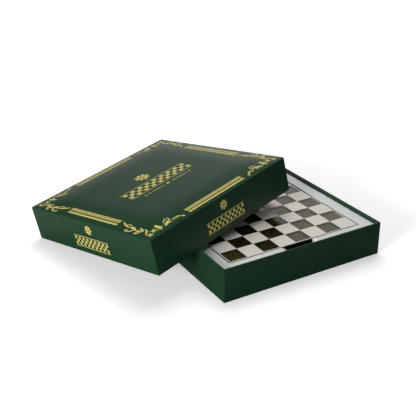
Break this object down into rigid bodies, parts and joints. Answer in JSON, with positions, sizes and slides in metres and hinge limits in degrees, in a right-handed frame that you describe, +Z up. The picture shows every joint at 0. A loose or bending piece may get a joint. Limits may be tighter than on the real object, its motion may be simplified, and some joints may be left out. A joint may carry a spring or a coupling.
{
  "type": "boxed glass chess set",
  "caption": "Square card box with its lid leaning on it, holding a glass chess board in a foam frame above glass chessmen in foam pockets.",
  "frame": {"origin": "centre of the underside of the box tray", "axes": "+Z up, -Y towards the side with the finger notch, +X to the right along that side; the lid leans from -X, +Y"},
  "size_m": [0.4711, 0.4355, 0.144],
  "materials": {
    "green_wrap": "satin",
    "gold_foil": "satin",
    "greyboard": "matte",
    "lining_paper": "matte",
    "white_foam": "matte",
    "black_foam": "matte",
    "board_glass": "polished",
    "dark_backing": "gloss",
    "light_print": "satin",
    "clear_bumper": "satin",
    "clear_glass": "polished",
    "frosted_glass": "matte"
  },
  "bodies": {
    "tray": {"tray_bottom_sheet": "green_wrap", "tray_card": "greyboard", "tray_wrap": "green_wrap", "tray_lining": "lining_paper", "foam_floor": "black_foam", "foam_pockets": "black_foam", "foam_frame": "white_foam"},
    "lid": {"lid_card": "greyboard", "lid_padding": "white_foam", "lid_wrap": "green_wrap", "lid_lining": "lining_paper", "lid_foil_bars": "gold_foil"},
    "board": {"board_glass": "board_glass", "board_backing": "dark_backing", "board_light_print": "light_print", "board_bumpers": "clear_bumper"},
    "frosted_rook_1": {"frosted_rook_1": "frosted_glass"},
    "frosted_knight_1": {"frosted_knight_1": "frosted_glass"},
    "frosted_bishop_1": {"frosted_bishop_1": "frosted_glass"},
    "frosted_queen": {"frosted_queen": "frosted_glass"},
    "frosted_king": {"frosted_king": "frosted_glass"},
    "frosted_bishop_2": {"frosted_bishop_2": "frosted_glass"},
    "frosted_knight_2": {"frosted_knight_2": "frosted_glass"},
    "frosted_rook_2": {"frosted_rook_2": "frosted_glass"},
    "frosted_pawn_1": {"frosted_pawn_1": "frosted_glass"},
    "frosted_pawn_2": {"frosted_pawn_2": "frosted_glass"},
    "frosted_pawn_3": {"frosted_pawn_3": "frosted_glass"},
    "frosted_pawn_4": {"frosted_pawn_4": "frosted_glass"},
    "frosted_pawn_5": {"frosted_pawn_5": "frosted_glass"},
    "frosted_pawn_6": {"frosted_pawn_6": "frosted_glass"},
    "frosted_pawn_7": {"frosted_pawn_7": "frosted_glass"},
    "frosted_pawn_8": {"frosted_pawn_8": "frosted_glass"},
    "clear_rook_1": {"clear_rook_1": "clear_glass"},
    "clear_knight_1": {"clear_knight_1": "clear_glass"},
    "clear_bishop_1": {"clear_bishop_1": "clear_glass"},
    "clear_queen": {"clear_queen": "clear_glass"},
    "clear_king": {"clear_king": "clear_glass"},
    "clear_bishop_2": {"clear_bishop_2": "clear_glass"},
    "clear_knight_2": {"clear_knight_2": "clear_glass"},
    "clear_rook_2": {"clear_rook_2": "clear_glass"},
    "clear_pawn_1": {"clear_pawn_1": "clear_glass"},
    "clear_pawn_2": {"clear_pawn_2": "clear_glass"},
    "clear_pawn_3": {"clear_pawn_3": "clear_glass"},
    "clear_pawn_4": {"clear_pawn_4": "clear_glass"},
    "clear_pawn_5": {"clear_pawn_5": "clear_glass"},
    "clear_pawn_6": {"clear_pawn_6": "clear_glass"},
    "clear_pawn_7": {"clear_pawn_7": "clear_glass"},
    "clear_pawn_8": {"clear_pawn_8": "clear_glass"}
  },
  "joints": [
    {"name": "lid_lift", "type": "slide", "parent": "tray", "child": "lid", "axis": [0, 0, 1], "range_m": [0, 0.15]},
    {"name": "board_lift", "type": "slide", "parent": "tray", "child": "board", "axis": [0, 0, 1], "range_m": [0, 0.01]},
    {"name": "frosted_rook_1_lift", "type": "slide", "parent": "tray", "child": "frosted_rook_1", "axis": [0, 0, 1], "range_m": [0, 0.0085]},
    {"name": "frosted_knight_1_lift", "type": "slide", "parent": "tray", "child": "frosted_knight_1", "axis": [0, 0, 1], "range_m": [0, 0.008]},
    {"name": "frosted_bishop_1_lift", "type": "slide", "parent": "tray", "child": "frosted_bishop_1", "axis": [0, 0, 1], "range_m": [0, 0.008]},
    {"name": "frosted_queen_lift", "type": "slide", "parent": "tray", "child": "frosted_queen", "axis": [0, 0, 1], "range_m": [0, 0.0065]},
    {"name": "frosted_king_lift", "type": "slide", "parent": "tray", "child": "frosted_king", "axis": [0, 0, 1], "range_m": [0, 0.0055]},
    {"name": "frosted_bishop_2_lift", "type": "slide", "parent": "tray", "child": "frosted_bishop_2", "axis": [0, 0, 1], "range_m": [0, 0.008]},
    {"name": "frosted_knight_2_lift", "type": "slide", "parent": "tray", "child": "frosted_knight_2", "axis": [0, 0, 1], "range_m": [0, 0.008]},
    {"name": "frosted_rook_2_lift", "type": "slide", "parent": "tray", "child": "frosted_rook_2", "axis": [0, 0, 1], "range_m": [0, 0.0085]},
    {"name": "frosted_pawn_1_lift", "type": "slide", "parent": "tray", "child": "frosted_pawn_1", "axis": [0, 0, 1], "range_m": [0, 0.01]},
    {"name": "frosted_pawn_2_lift", "type": "slide", "parent": "tray", "child": "frosted_pawn_2", "axis": [0, 0, 1], "range_m": [0, 0.01]},
    {"name": "frosted_pawn_3_lift", "type": "slide", "parent": "tray", "child": "frosted_pawn_3", "axis": [0, 0, 1], "range_m": [0, 0.01]},
    {"name": "frosted_pawn_4_lift", "type": "slide", "parent": "tray", "child": "frosted_pawn_4", "axis": [0, 0, 1], "range_m": [0, 0.01]},
    {"name": "frosted_pawn_5_lift", "type": "slide", "parent": "tray", "child": "frosted_pawn_5", "axis": [0, 0, 1], "range_m": [0, 0.01]},
    {"name": "frosted_pawn_6_lift", "type": "slide", "parent": "tray", "child": "frosted_pawn_6", "axis": [0, 0, 1], "range_m": [0, 0.01]},
    {"name": "frosted_pawn_7_lift", "type": "slide", "parent": "tray", "child": "frosted_pawn_7", "axis": [0, 0, 1], "range_m": [0, 0.01]},
    {"name": "frosted_pawn_8_lift", "type": "slide", "parent": "tray", "child": "frosted_pawn_8", "axis": [0, 0, 1], "range_m": [0, 0.01]},
    {"name": "clear_rook_1_lift", "type": "slide", "parent": "tray", "child": "clear_rook_1", "axis": [0, 0, 1], "range_m": [0, 0.0085]},
    {"name": "clear_knight_1_lift", "type": "slide", "parent": "tray", "child": "clear_knight_1", "axis": [0, 0, 1], "range_m": [0, 0.008]},
    {"name": "clear_bishop_1_lift", "type": "slide", "parent": "tray", "child": "clear_bishop_1", "axis": [0, 0, 1], "range_m": [0, 0.008]},
    {"name": "clear_queen_lift", "type": "slide", "parent": "tray", "child": "clear_queen", "axis": [0, 0, 1], "range_m": [0, 0.0065]},
    {"name": "clear_king_lift", "type": "slide", "parent": "tray", "child": "clear_king", "axis": [0, 0, 1], "range_m": [0, 0.0055]},
    {"name": "clear_bishop_2_lift", "type": "slide", "parent": "tray", "child": "clear_bishop_2", "axis": [0, 0, 1], "range_m": [0, 0.008]},
    {"name": "clear_knight_2_lift", "type": "slide", "parent": "tray", "child": "clear_knight_2", "axis": [0, 0, 1], "range_m": [0, 0.008]},
    {"name": "clear_rook_2_lift", "type": "slide", "parent": "tray", "child": "clear_rook_2", "axis": [0, 0, 1], "range_m": [0, 0.0085]},
    {"name": "clear_pawn_1_lift", "type": "slide", "parent": "tray", "child": "clear_pawn_1", "axis": [0, 0, 1], "range_m": [0, 0.01]},
    {"name": "clear_pawn_2_lift", "type": "slide", "parent": "tray", "child": "clear_pawn_2", "axis": [0, 0, 1], "range_m": [0, 0.01]},
    {"name": "clear_pawn_3_lift", "type": "slide", "parent": "tray", "child": "clear_pawn_3", "axis": [0, 0, 1], "range_m": [0, 0.01]},
    {"name": "clear_pawn_4_lift", "type": "slide", "parent": "tray", "child": "clear_pawn_4", "axis": [0, 0, 1], "range_m": [0, 0.01]},
    {"name": "clear_pawn_5_lift", "type": "slide", "parent": "tray", "child": "clear_pawn_5", "axis": [0, 0, 1], "range_m": [0, 0.01]},
    {"name": "clear_pawn_6_lift", "type": "slide", "parent": "tray", "child": "clear_pawn_6", "axis": [0, 0, 1], "range_m": [0, 0.01]},
    {"name": "clear_pawn_7_lift", "type": "slide", "parent": "tray", "child": "clear_pawn_7", "axis": [0, 0, 1], "range_m": [0, 0.01]},
    {"name": "clear_pawn_8_lift", "type": "slide", "parent": "tray", "child": "clear_pawn_8", "axis": [0, 0, 1], "range_m": [0, 0.01]}
  ]
}
